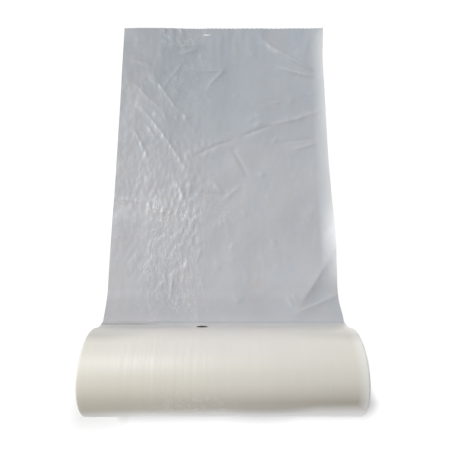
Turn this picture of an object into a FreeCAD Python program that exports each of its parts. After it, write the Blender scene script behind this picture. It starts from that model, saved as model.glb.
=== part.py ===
import FreeCAD, Part
import os
from math import acos, cos, degrees, exp, floor, hypot, pi, radians, sin

import Sketcher
from FreeCAD import Placement, Rotation, Vector

# Roll of tear-off film bags lying on its side, with one bag unrolled behind it.
#
# Frame, in millimetres: +X runs along the core, +Y towards the free end of the
# unrolled bag and +Z up. The origin is the middle of the roll's flat spot, on the
# surface that the roll lies on. The film comes over the top of the roll, leaves it
# at the back, hangs to the perforation, and slopes from there down to the surface.

SIZES = {
    "web_width": (305, "width of the lay-flat film, and so of the roll"),
    "roll_radius": (48, "outer turn of film"),
    "flat_sag": (0.8, "how far the soft roll has settled at its flat spot"),
    "core_bore_radius": (12.7, "inside of the paperboard core"),
    "core_wall": (3, "wall of the paperboard core"),
    "core_overhang": (1.5, "how far the core stands out of each end of the roll"),
    "film_thickness": (0.4, "two plies of film, made thick enough to handle as a solid"),
    "turn_pitch": (5.2, "radial distance between two rings on the end of the roll"),
    "turn_relief": (0.7, "depth of the deepest ring on the end of the roll"),
    "end_rim": (1.5, "plain band outside the last ring"),
    "leave_angle": (5, "how far below the core's level the film leaves the roll, degrees"),
    "lip_length": (23, "film hanging from the roll, down to the perforation"),
    "lip_bend": (45, "radius by which the hanging film swings away from the roll"),
    "bag_length": (445, "one bag, from perforation to perforation"),
    "tear_straight": (3, "flat strip of film beside the perforation"),
    "kink_radius": (3, "bend of the film just past the perforation"),
    "slope_angle": (31, "slope of the film down to the surface, degrees"),
    "landing_radius": (55, "bend of the film where it meets the surface"),
    "skirt_length": (34, "flat end of the bag outside the folds"),
    "tie_pitch": (9, "distance between two cuts of the perforation"),
    "tie_width": (1.8, "film left between two cuts"),
    "cut_height": (0.8, "opening of one cut along the film"),
    "slit_length": (16, "slit that hooks on the dispenser's tongue"),
    "slit_opening": (1.4, "how far the slit gapes"),
    "slit_to_edge": (12, "slit to the perforation"),
    "slit_offset": (26, "slit to the middle of the film"),
    "seal_to_edge": (28, "middle of the bottom seal to the free edge"),
    "seal_width": (3, "width of the bottom seal"),
    "seal_rise": (0.2, "how far the sealed film stands up"),
    "fold_height": (4.2, "height of the tallest fold in the unrolled bag"),
    "fold_spread": (9, "half width of a fold"),
    "grid_step": (14, "spacing of the points that carry the folded film"),
}

# Folds of the unrolled bag: points as shares of the film's width, from its middle,
# and of the folded stretch, from the roll's end, then the share of fold_height.
FOLDS = [
    ([(-0.39, 0.73), (-0.30, 0.65), (-0.23, 0.55), (-0.16, 0.45), (-0.15, 0.37)], 1.0),
    ([(-0.11, 0.54), (0.04, 0.61), (0.18, 0.65), (0.37, 0.69), (0.50, 0.73)], 0.6),
    ([(-0.35, 0.91), (-0.25, 0.77), (-0.19, 0.70)], 0.7),
    ([(-0.44, 0.84), (-0.30, 0.73)], 0.55),
    ([(0.05, 0.56), (0.12, 0.44)], 0.5),
    ([(0.20, 0.97), (0.44, 0.88)], 0.6),
    ([(0.33, 0.09), (0.46, 0.22)], 0.7),
]
# The pleats that fan out near the roll: where the first one starts and ends across
# the film, the steps to the next one, and how far along the film they run.
PLEATS = 5
for pleat in range(PLEATS):
    pleat_ends = [(-0.45 + 0.07 * pleat, 0.07), (-0.46 + 0.085 * pleat, 0.30 + 0.02 * (pleat % 3))]
    FOLDS.append((pleat_ends, 0.3))
# The folds die away over this share of the folded stretch at each of its ends.
END_FADE = 0.06
# The rings differ in depth: the share of turn_relief that varies, and how fast.
RING_VARIATION = 0.55
RING_PHASE = 2.4

doc = FreeCAD.newDocument("bag_roll")


def fill_sheet():
    sheet = doc.addObject("Spreadsheet::Sheet", "sizes")
    for row, (alias, (value, meaning)) in enumerate(SIZES.items(), start=1):
        sheet.set("A%d" % row, alias)
        sheet.set("B%d" % row, str(value))
        sheet.set("C%d" % row, meaning)
        sheet.setAlias("B%d" % row, alias)
    doc.recompute()
    return sheet


sizes = fill_sheet()
CORE_RADIUS = sizes.core_bore_radius + sizes.core_wall
AXIS_HEIGHT = sizes.roll_radius - sizes.flat_sag
HALF_WIDTH = sizes.web_width / 2
HALF_FILM = sizes.film_thickness / 2


def origin_plane(body, role):
    return next(item for item in body.Origin.OriginFeatures if item.Role == role)


def new_sketch(body, name, role, shift=0):
    sketch = body.newObject("Sketcher::SketchObject", name)
    sketch.AttachmentSupport = [(origin_plane(body, role), "")]
    sketch.MapMode = "FlatFace"
    sketch.AttachmentOffset = Placement(Vector(0, 0, shift), Rotation())
    return sketch


def bind(sketch, constraint, expression):
    index = sketch.addConstraint(constraint)
    sketch.setExpression("Constraints[%d]" % index, expression)


def symmetric_pad(body, name, sketch, length):
    pad = body.newObject("PartDesign::Pad", name)
    pad.Profile = sketch
    pad.SideType = "Symmetric"
    pad.setExpression("Length", length)
    return pad


def add_circle(sketch, radius, expression):
    circle = sketch.addGeometry(Part.Circle(Vector(0, AXIS_HEIGHT, 0), Vector(0, 0, 1), radius))
    bind(sketch, Sketcher.Constraint("Radius", circle, radius), expression)
    return circle


def centre_on_axis(sketch, curve):
    """Hold a round curve's centre on the core's axis."""
    sketch.addConstraint(Sketcher.Constraint("PointOnObject", curve, 3, -2))
    bind(sketch, Sketcher.Constraint("DistanceY", -1, 1, curve, 3, AXIS_HEIGHT),
         "sizes.roll_radius - sizes.flat_sag")


# --- the film's path in the YZ plane -----------------------------------------

LEAVE_HEADING = -pi / 2 - radians(sizes.leave_angle)
TEAR_HEADING = LEAVE_HEADING + sizes.lip_length / sizes.lip_bend
SLOPE_HEADING = -radians(sizes.slope_angle)


def along(heading):
    return Vector(0, cos(heading), sin(heading))


def outward(heading):
    """Normal of the film, on the side away from the roll."""
    return Vector(0, -sin(heading), cos(heading))


CORE_AXIS = Vector(0, 0, AXIS_HEIGHT)
LIP_CENTRE = CORE_AXIS + outward(LEAVE_HEADING) * (sizes.roll_radius + sizes.lip_bend)


def lip_point(to_perforation, depth):
    """Point of the hanging lip, by its distance up from the perforation and its depth
    in the film's thickness."""
    heading = TEAR_HEADING - to_perforation / sizes.lip_bend
    return LIP_CENTRE - outward(heading) * (sizes.lip_bend + depth)


TEAR_POINT = lip_point(0, HALF_FILM)


def slope_stations():
    """Middle of the film from the perforation to the surface, as points with headings:
    a flat strip, the kink, the straight slope and the bend onto the surface."""
    kink_start = TEAR_POINT + along(TEAR_HEADING) * sizes.tear_straight
    kink_centre = kink_start + outward(TEAR_HEADING) * sizes.kink_radius
    kink_middle = (TEAR_HEADING + SLOPE_HEADING) / 2
    kink_end = kink_centre - outward(SLOPE_HEADING) * sizes.kink_radius
    landing_height = HALF_FILM + sizes.landing_radius * (1 - cos(SLOPE_HEADING))
    straight = (kink_end.z - landing_height) / -sin(SLOPE_HEADING)
    landing_start = kink_end + along(SLOPE_HEADING) * straight
    landing_centre = landing_start + outward(SLOPE_HEADING) * sizes.landing_radius
    landing_middle = SLOPE_HEADING / 2
    stations = [
        (TEAR_POINT, TEAR_HEADING),
        (kink_start, TEAR_HEADING),
        (kink_centre - outward(kink_middle) * sizes.kink_radius, kink_middle),
        (kink_end, SLOPE_HEADING),
        (landing_start, SLOPE_HEADING),
        (landing_centre - outward(landing_middle) * sizes.landing_radius, landing_middle),
        (landing_centre - outward(0) * sizes.landing_radius, 0),
    ]
    length = (sizes.tear_straight + sizes.kink_radius * (SLOPE_HEADING - TEAR_HEADING)
              + straight - sizes.landing_radius * SLOPE_HEADING)
    return stations, length


def slope_side(stations, offset):
    """One face line of the film, at an offset from its middle."""
    points = [point + outward(heading) * offset for point, heading in stations]
    return [
        Part.LineSegment(points[0], points[1]).toShape(),
        Part.Arc(points[1], points[2], points[3]).toShape(),
        Part.LineSegment(points[3], points[4]).toShape(),
        Part.Arc(points[4], points[5], points[6]).toShape(),
    ]


# --- wound film ----------------------------------------------------------------

def on_sheet(point):
    """A point of the YZ plane in the coordinates of a sketch on that plane."""
    return Vector(point.y, point.z, 0)


def opposite_angle(side, near, far):
    """Angle of a triangle between its sides near and far, facing the side given."""
    return acos((near ** 2 + far ** 2 - side ** 2) / (2 * near * far))


def turns_section(body):
    """Outer turn with its flat spot and the hanging lip, and the hole for the core."""
    radius = sizes.roll_radius
    lip_inside = sizes.lip_bend + sizes.film_thickness
    between = radius + sizes.lip_bend
    flat_angle = acos((radius - sizes.flat_sag) / radius)
    leave = -radians(sizes.leave_angle)
    join = leave - opposite_angle(lip_inside, radius, between)
    lip_top = pi + leave
    lip_join = lip_top + opposite_angle(radius, lip_inside, between)
    lip_end = lip_top + sizes.lip_length / sizes.lip_bend
    turn = Part.Circle(on_sheet(CORE_AXIS), Vector(0, 0, 1), radius)
    top_arc = Part.ArcOfCircle(turn, leave, 1.5 * pi - flat_angle)
    back_arc = Part.ArcOfCircle(turn, 1.5 * pi + flat_angle, 2 * pi + join)
    inner_circle = Part.Circle(on_sheet(LIP_CENTRE), Vector(0, 0, 1), lip_inside)
    outer_circle = Part.Circle(on_sheet(LIP_CENTRE), Vector(0, 0, 1), sizes.lip_bend)
    inner_arc = Part.ArcOfCircle(inner_circle, lip_join, lip_end)
    outer_arc = Part.ArcOfCircle(outer_circle, lip_top, lip_end)

    sketch = new_sketch(body, "turns_section", "YZ_Plane")
    top = sketch.addGeometry(top_arc)
    flat = sketch.addGeometry(Part.LineSegment(top_arc.EndPoint, back_arc.StartPoint))
    back = sketch.addGeometry(back_arc)
    inner = sketch.addGeometry(inner_arc)
    tear = sketch.addGeometry(Part.LineSegment(inner_arc.EndPoint, outer_arc.EndPoint))
    outer = sketch.addGeometry(outer_arc)
    for first, second in ((top, flat), (flat, back), (back, inner), (inner, tear)):
        sketch.addConstraint(Sketcher.Constraint("Coincident", first, 2, second, 1))
    sketch.addConstraint(Sketcher.Constraint("Coincident", tear, 2, outer, 2))
    sketch.addConstraint(Sketcher.Constraint("Tangent", outer, 1, top, 1))
    sketch.addConstraint(Sketcher.Constraint("Coincident", top, 3, back, 3))
    sketch.addConstraint(Sketcher.Constraint("Coincident", inner, 3, outer, 3))
    sketch.addConstraint(Sketcher.Constraint("Equal", top, back))
    sketch.addConstraint(Sketcher.Constraint("Horizontal", flat))
    sketch.addConstraint(Sketcher.Constraint("PointOnObject", flat, 1, -1))
    sketch.addConstraint(Sketcher.Constraint("PointOnObject", outer, 3, tear))
    centres = sketch.addGeometry(Part.LineSegment(on_sheet(CORE_AXIS), on_sheet(LIP_CENTRE)), True)
    sketch.addConstraint(Sketcher.Constraint("Coincident", centres, 1, top, 3))
    sketch.addConstraint(Sketcher.Constraint("Coincident", centres, 2, outer, 3))
    centre_on_axis(sketch, top)
    bind(sketch, Sketcher.Constraint("Radius", top, radius), "sizes.roll_radius")
    bind(sketch, Sketcher.Constraint("Radius", outer, sizes.lip_bend), "sizes.lip_bend")
    bind(sketch, Sketcher.Constraint("Distance", tear, sizes.film_thickness), "sizes.film_thickness")
    bind(sketch, Sketcher.Constraint("Angle", centres, leave), "-sizes.leave_angle * 1 deg")
    bind(sketch, Sketcher.Constraint("Angle", outer, lip_end - lip_top),
         "sizes.lip_length / sizes.lip_bend * 1 rad")
    hole = add_circle(sketch, CORE_RADIUS, "sizes.core_bore_radius + sizes.core_wall")
    sketch.addConstraint(Sketcher.Constraint("Coincident", hole, 3, top, 3))
    return sketch


def ring_profile(end):
    """Closed zigzag that cuts the rings into one end of the roll, as (x, radius)."""
    first = CORE_RADIUS + sizes.turn_pitch / 2
    last = sizes.roll_radius - sizes.end_rim
    rings = floor((last - first) / sizes.turn_pitch)
    outside = HALF_WIDTH + sizes.turn_relief
    points = [(outside, first), (HALF_WIDTH, first)]
    for ring in range(rings):
        shallower = RING_VARIATION * abs(sin(RING_PHASE * ring + end))
        depth = sizes.turn_relief * (1 - shallower)
        points.append((HALF_WIDTH - depth, first + (ring + 0.5) * sizes.turn_pitch))
        points.append((HALF_WIDTH, first + (ring + 1) * sizes.turn_pitch))
    points.append((outside, first + rings * sizes.turn_pitch))
    return [Vector(end * x, AXIS_HEIGHT + radius, 0) for x, radius in points]


def cut_rings(body):
    sketch = new_sketch(body, "ring_profile", "XZ_Plane")
    for end in (-1, 1):
        corners = ring_profile(end)
        for start, stop in zip(corners, corners[1:] + corners[:1]):
            sketch.addGeometry(Part.LineSegment(start, stop))
    start = Vector(-HALF_WIDTH, AXIS_HEIGHT, 0)
    axis = sketch.addGeometry(Part.LineSegment(start, Vector(HALF_WIDTH, AXIS_HEIGHT, 0)), True)
    sketch.addConstraint(Sketcher.Constraint("Horizontal", axis))
    bind(sketch, Sketcher.Constraint("DistanceY", -1, 1, axis, 1, AXIS_HEIGHT),
         "sizes.roll_radius - sizes.flat_sag")
    groove = body.newObject("PartDesign::Groove", "end_rings")
    groove.Profile = sketch
    groove.ReferenceAxis = (sketch, ["Axis0"])
    groove.Angle = 360
    return groove


def lens_edges(length, opening):
    """Outline of a gaping slit: two shallow arcs that meet at its ends."""
    left = Vector(-length / 2, 0, 0)
    right = Vector(length / 2, 0, 0)
    top = Vector(0, opening / 2, 0)
    return [Part.Arc(left, top, right), Part.Arc(left, -top, right)]


def roll_side(height):
    """How far the roll reaches towards the lip at a height."""
    return (sizes.roll_radius ** 2 - (height - AXIS_HEIGHT) ** 2) ** 0.5


def cut_lip_slit(body):
    """The slit that catches the dispenser's tongue, in the hanging lip only."""
    height = lip_point(sizes.slit_to_edge, HALF_FILM).z
    between = (lip_point(sizes.slit_to_edge, sizes.film_thickness).y + roll_side(height)) / 2
    sketch = new_sketch(body, "lip_slit_outline", "XZ_Plane", -between)
    for arc in lens_edges(sizes.slit_length, sizes.slit_opening):
        arc.translate(Vector(-sizes.slit_offset, height, 0))
        sketch.addGeometry(arc)
    pocket = body.newObject("PartDesign::Pocket", "lip_slit")
    pocket.Profile = sketch
    pocket.setExpression("Length", "sizes.lip_length")
    return pocket


def make_wound_bags():
    body = doc.addObject("PartDesign::Body", "wound_bags")
    symmetric_pad(body, "turns", turns_section(body), "sizes.web_width")
    doc.recompute()
    plain = body.Shape.Volume
    cut_rings(body)
    doc.recompute()
    ringed = body.Shape.Volume
    cut_lip_slit(body)
    doc.recompute()
    if not plain > ringed > body.Shape.Volume:
        raise RuntimeError("a cut of the wound film has removed nothing")
    return body


# --- core ------------------------------------------------------------------------

def make_core_tube():
    body = doc.addObject("PartDesign::Body", "core_tube")
    sketch = new_sketch(body, "tube_section", "YZ_Plane")
    outside = add_circle(sketch, CORE_RADIUS, "sizes.core_bore_radius + sizes.core_wall")
    bore = add_circle(sketch, sizes.core_bore_radius, "sizes.core_bore_radius")
    centre_on_axis(sketch, outside)
    sketch.addConstraint(Sketcher.Constraint("Coincident", bore, 3, outside, 3))
    symmetric_pad(body, "tube", sketch, "sizes.web_width + 2 * sizes.core_overhang")
    return body


# --- unrolled bag ----------------------------------------------------------------

def distance_to_fold(x, y, points):
    """Plan distance from a point of the film to a fold's chain of straight runs."""
    nearest = None
    for (x0, y0), (x1, y1) in zip(points, points[1:]):
        run = (x1 - x0) ** 2 + (y1 - y0) ** 2
        share = max(0, min(1, ((x - x0) * (x1 - x0) + (y - y0) * (y1 - y0)) / run))
        gap = hypot(x - x0 - share * (x1 - x0), y - y0 - share * (y1 - y0))
        nearest = gap if nearest is None else min(nearest, gap)
    return nearest


def ease(value):
    """Smooth step from 0 to 1."""
    value = max(0, min(1, value))
    return value * value * (3 - 2 * value)


def fold_rise(x, y, start, length):
    """Height of the folded film above where it would lie flat."""
    rise = 0
    for points, share in FOLDS:
        chain = [(u * sizes.web_width, start + v * length) for u, v in points]
        gap = distance_to_fold(x, y, chain)
        rise = max(rise, share * sizes.fold_height * exp(-(gap / sizes.fold_spread) ** 2))
    down = (y - start) / length
    return rise * ease(down / END_FADE) * ease((1 - down) / END_FADE)


def knots_for(poles):
    """Evenly spaced knots of a clamped quadratic curve, and their multiplicities."""
    spans = poles - 2
    return list(range(spans + 1)), [3] + [1] * (spans - 1) + [3]


def folded_panel(start, length):
    """The folded stretch of film as a thin solid under one smooth surface. The surface
    stays within its poles, so the film never dips below where it would lie flat."""
    columns = round(sizes.web_width / sizes.grid_step)
    rows = round(length / sizes.grid_step)
    poles = []
    for row in range(rows + 1):
        y = start + length * row / rows
        line = []
        for column in range(columns + 1):
            x = -HALF_WIDTH + sizes.web_width * column / columns
            line.append(Vector(x, y, sizes.film_thickness + fold_rise(x, y, start, length)))
        poles.append(line)
    row_knots, row_mults = knots_for(rows + 1)
    column_knots, column_mults = knots_for(columns + 1)
    surface = Part.BSplineSurface()
    surface.buildFromPolesMultsKnots(poles, row_mults, column_mults, row_knots, column_knots,
                                     False, False, 2, 2)
    return surface.toShape().extrude(Vector(0, 0, -sizes.film_thickness))


def film_box(start_y, length, bottom, height):
    """A strip of film across the whole width."""
    return Part.makeBox(sizes.web_width, length, height, Vector(-HALF_WIDTH, start_y, bottom))


def perforation(edge, heading):
    """The row of cuts along one edge of the bag. Film runs on from the edge at the heading."""
    count = floor((sizes.web_width - sizes.tie_width) / sizes.tie_pitch)
    length = sizes.tie_pitch - sizes.tie_width
    depth = 4 * sizes.film_thickness
    turn = Rotation(Vector(1, 0, 0), degrees(heading))
    cuts = []
    for number in range(count):
        cut = Part.makeBox(length, sizes.cut_height, depth, Vector(-length / 2, 0, -depth / 2))
        middle = (number - (count - 1) / 2) * sizes.tie_pitch
        cut.Placement = Placement(edge + Vector(middle, 0, 0), turn)
        cuts.append(cut)
    return cuts


def end_slit(free_edge):
    outline = Part.Wire([arc.toShape() for arc in lens_edges(sizes.slit_length, sizes.slit_opening)])
    slit = Part.Face(outline).extrude(Vector(0, 0, 4 * sizes.film_thickness))
    slit.translate(Vector(-sizes.slit_offset, free_edge - sizes.slit_to_edge, -sizes.film_thickness))
    return slit


def make_leading_bag():
    stations, slope_length = slope_stations()
    upper = slope_side(stations, HALF_FILM)
    lower = slope_side(stations, -HALF_FILM)
    ends = [
        Part.LineSegment(edge.Vertexes[end].Point, other.Vertexes[end].Point).toShape()
        for edge, other, end in ((upper[0], lower[0], 0), (upper[-1], lower[-1], -1))
    ]
    section = Part.Face(Part.Wire(Part.__sortEdges__(upper + lower + ends)))
    section.translate(Vector(-HALF_WIDTH, 0, 0))
    slope = section.extrude(Vector(sizes.web_width, 0, 0))

    panel_start = stations[-1][0].y
    panel_length = sizes.bag_length - slope_length - sizes.skirt_length
    skirt_start = panel_start + panel_length
    free_edge = skirt_start + sizes.skirt_length
    panel = folded_panel(panel_start, panel_length)
    skirt = film_box(skirt_start, sizes.skirt_length, 0, sizes.film_thickness)
    seal_start = free_edge - sizes.seal_to_edge - sizes.seal_width / 2
    seal = film_box(seal_start, sizes.seal_width, 0, sizes.film_thickness + sizes.seal_rise)
    film = slope.fuse([panel, skirt.fuse(seal)])

    far_edge = Vector(0, free_edge, HALF_FILM)
    cuts = perforation(TEAR_POINT, TEAR_HEADING) + perforation(far_edge, pi) + [end_slit(free_edge)]
    bag = doc.addObject("Part::Feature", "leading_bag")
    bag.Shape = film.cut(cuts)
    return bag


# --- checks and export -------------------------------------------------------------

def export(pieces):
    doc.recompute()
    failed = [item.Label for item in doc.Objects if {"Invalid", "Error"} & set(item.State)]
    if failed:
        raise RuntimeError("not built: " + ", ".join(failed))
    os.makedirs("parts", exist_ok=True)
    for piece in pieces:
        shape = piece.Shape
        if shape.isNull() or not shape.isValid() or len(shape.Solids) != 1:
            raise RuntimeError(piece.Label + " is not one sound solid")
        shape.exportStep("parts/%s.step" % piece.Label)
        print(piece.Label, "volume %.0f mm3" % shape.Volume, shape.BoundBox)


export([make_core_tube(), make_wound_bags(), make_leading_bag()])
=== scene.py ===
from math import cos, hypot, pi, radians, sin
from random import Random

import bpy
import numpy as np
from bpy.props import FloatProperty, FloatVectorProperty, IntProperty, PointerProperty
from bpy.types import Operator, Panel, PropertyGroup
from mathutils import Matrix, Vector, noise


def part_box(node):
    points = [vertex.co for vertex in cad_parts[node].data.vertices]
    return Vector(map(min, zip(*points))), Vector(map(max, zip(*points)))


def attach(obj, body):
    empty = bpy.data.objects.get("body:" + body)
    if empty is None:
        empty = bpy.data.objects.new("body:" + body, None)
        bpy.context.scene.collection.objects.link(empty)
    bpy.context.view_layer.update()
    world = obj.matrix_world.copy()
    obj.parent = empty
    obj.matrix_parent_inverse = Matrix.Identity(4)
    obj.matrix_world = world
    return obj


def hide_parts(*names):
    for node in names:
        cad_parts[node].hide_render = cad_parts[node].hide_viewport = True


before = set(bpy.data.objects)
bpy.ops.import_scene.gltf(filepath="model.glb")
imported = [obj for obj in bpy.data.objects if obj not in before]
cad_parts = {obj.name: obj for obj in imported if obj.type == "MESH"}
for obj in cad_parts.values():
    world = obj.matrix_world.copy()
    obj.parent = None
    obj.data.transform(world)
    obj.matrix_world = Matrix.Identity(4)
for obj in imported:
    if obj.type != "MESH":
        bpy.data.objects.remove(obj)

bl_info = {
    "name": "Bag Roll Looks",
    "version": (1, 0, 0),
    "blender": (4, 5, 0),
    "location": "3D View > Sidebar > Bag Roll",
    "description": "Wound film, unrolled bag and paperboard core of a roll of tear-off bags",
    "category": "Object",
}

# Frame, in metres: +X runs along the core, +Y towards the free end of the unrolled
# bag and +Z up. The origin is the middle of the roll's flat spot, on the floor.
MM = 0.001
# Edges that turn by more than this stay sharp.
SHARP_ANGLE = radians(55)

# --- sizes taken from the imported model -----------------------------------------

core_low, core_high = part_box("core_tube")
roll_low, roll_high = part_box("wound_bags")
CORE_RADIUS = core_high.y
AXIS_HEIGHT = (core_low.z + core_high.z) / 2
ROLL_RADIUS = -roll_low.y
HALF_WIDTH = roll_high.x
FREE_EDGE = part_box("leading_bag")[1].y

# --- shape of the hanging and sloping film --------------------------------------

# The lip leaves the back of the roll this far below the level of its axis, and bends out
# down to the tear line. The bag hangs on in the same way over a strip beside the tear,
# turns over a kink to a straight slope, and lands with a wide bend.
LEAVE_ANGLE = radians(5)
LIP_LENGTH = 23 * MM
LIP_BEND = 45 * MM
TEAR_STRIP = 3 * MM
KINK_RADIUS = 3.5 * MM
SLOPE = radians(31)
LANDING_RADIUS = 55 * MM
LEAVE_HEADING = -pi / 2 - LEAVE_ANGLE
TEAR_HEADING = LEAVE_HEADING + LIP_LENGTH / LIP_BEND

# --- places on the film, across it and from the edges of a bag --------------------

SLIT_MIDDLE = -26 * MM
SLIT_LENGTH = 16 * MM
SLIT_TO_EDGE = 12 * MM
SEAL_TO_EDGE = 28 * MM
SEAL_WIDTH = 2.5 * MM
# Two rows of points run this close together along a slit that is still shut.
SLIT_SEAM = 0.1 * MM

# Folds of the unrolled bag, in millimetres on the floor plan: the points that a crest
# runs through, its height, and its reach to the left and to the right of the run.
# A height below zero is a valley.
FOLDS = [
    ([(-120, 357), (-100, 331), (-79, 303), (-61, 273), (-49, 255)], 0.55, 2.4, 3.0),
    ([(-100, 331), (-79, 303), (-61, 273), (-49, 255)], 0.5, 12, 3),
    ([(-49, 262), (-46, 231)], 0.9, 2.2, 3),
    ([(-69, 249), (-57, 225), (-45, 202)], 1.3, 2.6, 3.5),
    ([(-106, 412), (-90, 386), (-71, 357), (-57, 344), (-44, 322)], 0.6, 2.4, 3.2),
    ([(-131, 395), (-115, 376), (-89, 353)], 0.45, 2.6, 4),
    ([(-129, 322), (-118, 300), (-108, 279)], 0.6, 2.0, 2.6),
    ([(-111, 328), (-93, 303)], 0.4, 2.2, 2.6),
    ([(-137, 436), (-108, 425)], 0.6, 2.4, 3),
    ([(-57, 424), (-34, 417), (-1, 417), (-20, 395), (-26, 381)], 1.1, 2.4, 2.6),
    ([(-60, 436), (-69, 419), (-82, 402), (-89, 389)], 0.5, 2.4, 2.6),
    ([(-65, 447), (-41, 453)], 1.0, 2.4, 2.6),
    ([(-90, 466), (-66, 459), (-38, 461)], 1.0, 2.8, 3.4),
    ([(63, 465), (82, 449), (108, 433), (133, 419)], 4.6, 3.2, 3.6),
    ([(83, 422), (107, 414), (134, 407)], 3.2, 3.0, 3.4),
    ([(-41, 283), (-12, 297), (14, 306)], -1.7, 2.3, 2.8),
    ([(27, 312), (46, 320), (69, 328)], -1.9, 2.3, 2.4),
    ([(69, 330), (107, 339), (143, 351)], 1.3, 2.8, 3),
    ([(86, 303), (135, 308)], -1.2, 2.2, 2.4),
    ([(103, 292), (134, 300)], 1.1, 2.2, 2.4),
    ([(13, 291), (23, 273), (33, 252)], -1.9, 2.6, 2.4),
    ([(-40, 228), (-20, 225), (-1, 224)], -1.0, 2.2, 2.4),
    ([(-13, 240), (-1, 227)], 1.4, 2.2, 2.4),
    ([(2, 217), (22, 236)], 1.0, 2.2, 2.4),
    ([(-149, 220), (-132, 217), (-112, 214), (-87, 201), (-56, 194), (-34, 185)], 0.8, 2.2, 3.4),
    ([(-65, 114), (-70, 90)], 0.6, 2.2, 2.4),
    ([(-51, 83), (-43, 74)], 1.0, 2, 2),
    ([(-28, 149), (-36, 130)], 0.9, 2.2, 2.6),
    ([(-51, 136), (-49, 120)], 1.0, 2.2, 2.6),
    ([(130, 214), (115, 180)], 0.8, 10, 10),
    ([(93, 62), (119, 98), (145, 136)], 4.4, 36, 15),
    ([(94, 63), (120, 73), (150, 86)], 2.0, 2.5, 4),
    ([(86, 84), (90, 70)], 1.0, 1.8, 2.2),
    ([(93, 88), (96, 76)], 0.9, 1.8, 2.2),
    ([(14, 85), (19, 78), (26, 83)], 0.9, 1.8, 2.2),
    ([(-9, 132), (-6, 118)], 0.7, 1.8, 2.2),
    ([(29, 119), (34, 108)], 0.7, 1.8, 2.2),
    ([(64, 150), (76, 144)], 0.7, 1.8, 2.2),
]
FOLD_SHARPNESS = 0.95
# A fold tapers to its ends like half a wave, of which this share is cut off at each end,
# and which is filled out by a power.
TAPER_CUT = 0.06
TAPER_POWER = 0.6
# A crest is whitened over this width, as much as it is high, within limits in
# millimetres, as strained film with a painted highlight; a valley takes whitening away,
# as painted shade. Folds that reach further than this in all, in millimetres, whiten less.
CREST_WIDTH = 1.1 * MM
CREST_LIMITS = (-1, 2)
SHARP_REACH = 6
# The film rises towards a valley from this far on both sides.
BANK_REACH = 16 * MM

# Fields of small creases: the corners of each field on the plan, how many creases,
# their heading and its spread in degrees, length, height and reach in millimetres.
CREASE_FIELDS = [
    ((-150, 95), (-95, 215), 40, -75, 45, 12, 0.20, 1.9),
    ((-100, 72), (-32, 205), 90, -84, 26, 12, 0.31, 1.8),
    ((-60, 172), (-34, 250), 12, -70, 30, 9, 0.40, 1.8),
    ((-30, 172), (12, 216), 10, -88, 8, 20, 0.42, 2.4),
    ((-140, 255), (-95, 330), 10, -60, 14, 14, 0.20, 2.2),
    ((-140, 205), (-60, 250), 18, -75, 40, 10, 0.34, 1.9),
    ((-128, 345), (-66, 410), 22, -52, 20, 12, 0.30, 1.8),
    ((-100, 330), (-20, 450), 26, -20, 60, 9, 0.40, 1.9),
    ((-94, 464), (-44, 488), 26, -78, 24, 11, 0.50, 1.5),
    ((-10, 195), (120, 260), 10, -50, 60, 9, 0.80, 1.9),
    ((10, 300), (140, 460), 26, 15, 50, 11, 0.72, 2.0),
    ((-30, 90), (90, 170), 9, -70, 50, 9, 0.85, 2.0),
    ((-145, 60), (60, 95), 10, -60, 50, 8, 0.40, 1.9),
]
CREASE_SEED = 11
# Ranges of a crease's length, height and reach as shares of its field's, of its bend as a
# share of half its length, and of its right reach as a share of its left one.
CREASE_LENGTHS = (0.5, 1.4)
CREASE_BENDS = (-0.25, 0.25)
CREASE_HEIGHTS = (0.35, 1.3)
CREASE_REACHES = (0.7, 1.4)
CREASE_RIGHTS = (0.8, 1.6)
# Every fourth crease or so is a valley.
CREASE_WAYS = (1, 1, 1, -0.6)

# --- smooth unevenness ---------------------------------------------------------------

# Features of noise on the meshes: their strength, their size, how much the distance
# along the film counts, which draws them out when it is below 1, and a seed of their own.
SWELL = (1, 85 * MM, 1, 3.0)
SMALL_SWELL = (0.4, 34 * MM, 1, 5.0)
EDGE_RIPPLE = (0.5, 60 * MM, 1, 7.0)
RUFFLE = (0.12 * MM, 7 * MM, 0.6, 9.0)
SKIRT_CRINKLE = (1, 9 * MM, 0.25, 13.0)
SEAL_WAVE = (1, 40 * MM, 1, 15.0)
LIP_WAVE = (0.35 * MM, 22 * MM, 1, 17.0)
FINE_BANDS = (1, 3.6 * MM, 0.02, 21.0)
BROAD_BANDS = (0.5, 11 * MM, 0.03, 23.0)
ROLL_WAVE = (0.35 * MM, 75 * MM, 1, 25.0)
SHIFT_ACROSS = (16 * MM, 30 * MM, 1, 31.0)
SHIFT_ALONG = (24 * MM, 30 * MM, 1, 33.0)
FOLD_GAPS = (1, 5 * MM, 0.5, 35.0)

# --- shape of the roll and its ends ---------------------------------------------------

ROLL_ROWS = 230
LIP_ROWS = 20
# The outer turn without its unevenness lies this far inside the true radius.
ROLL_MARGIN = 0.1 * MM
# The gauge bands weaken by these shares, from a place on each side on, over a fade.
QUIET_RIGHT = 0.55
QUIET_RIGHT_FROM = -20 * MM
QUIET_RIGHT_FADE = 90 * MM
QUIET_LEFT = 0.5
QUIET_LEFT_FROM = -100 * MM
QUIET_LEFT_FADE = 40 * MM
# Share of the slit's opening by which each of its rims moves along the film.
SLIT_LIFT = 0.4
# How far the film pouts below and above the slit, as shares of the slit's opening.
POUT_BELOW = 0.6
POUT_ABOVE = -0.27
POUT_REACH = 4 * MM
# Rings of film edges on each end, with a relief of coarse steps and of chance. It grows
# from none at the rim, and is whole after one part in RELIEF_GROWTH of the way in.
RINGS = 40
RING_SEED = 31
COARSE_RINGS = 6
COARSE_SHARE = 0.6
RELIEF_GROWTH = 6
CORE_CLEARANCE = 0.05 * MM

# --- looks of the roll ------------------------------------------------------------------

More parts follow.
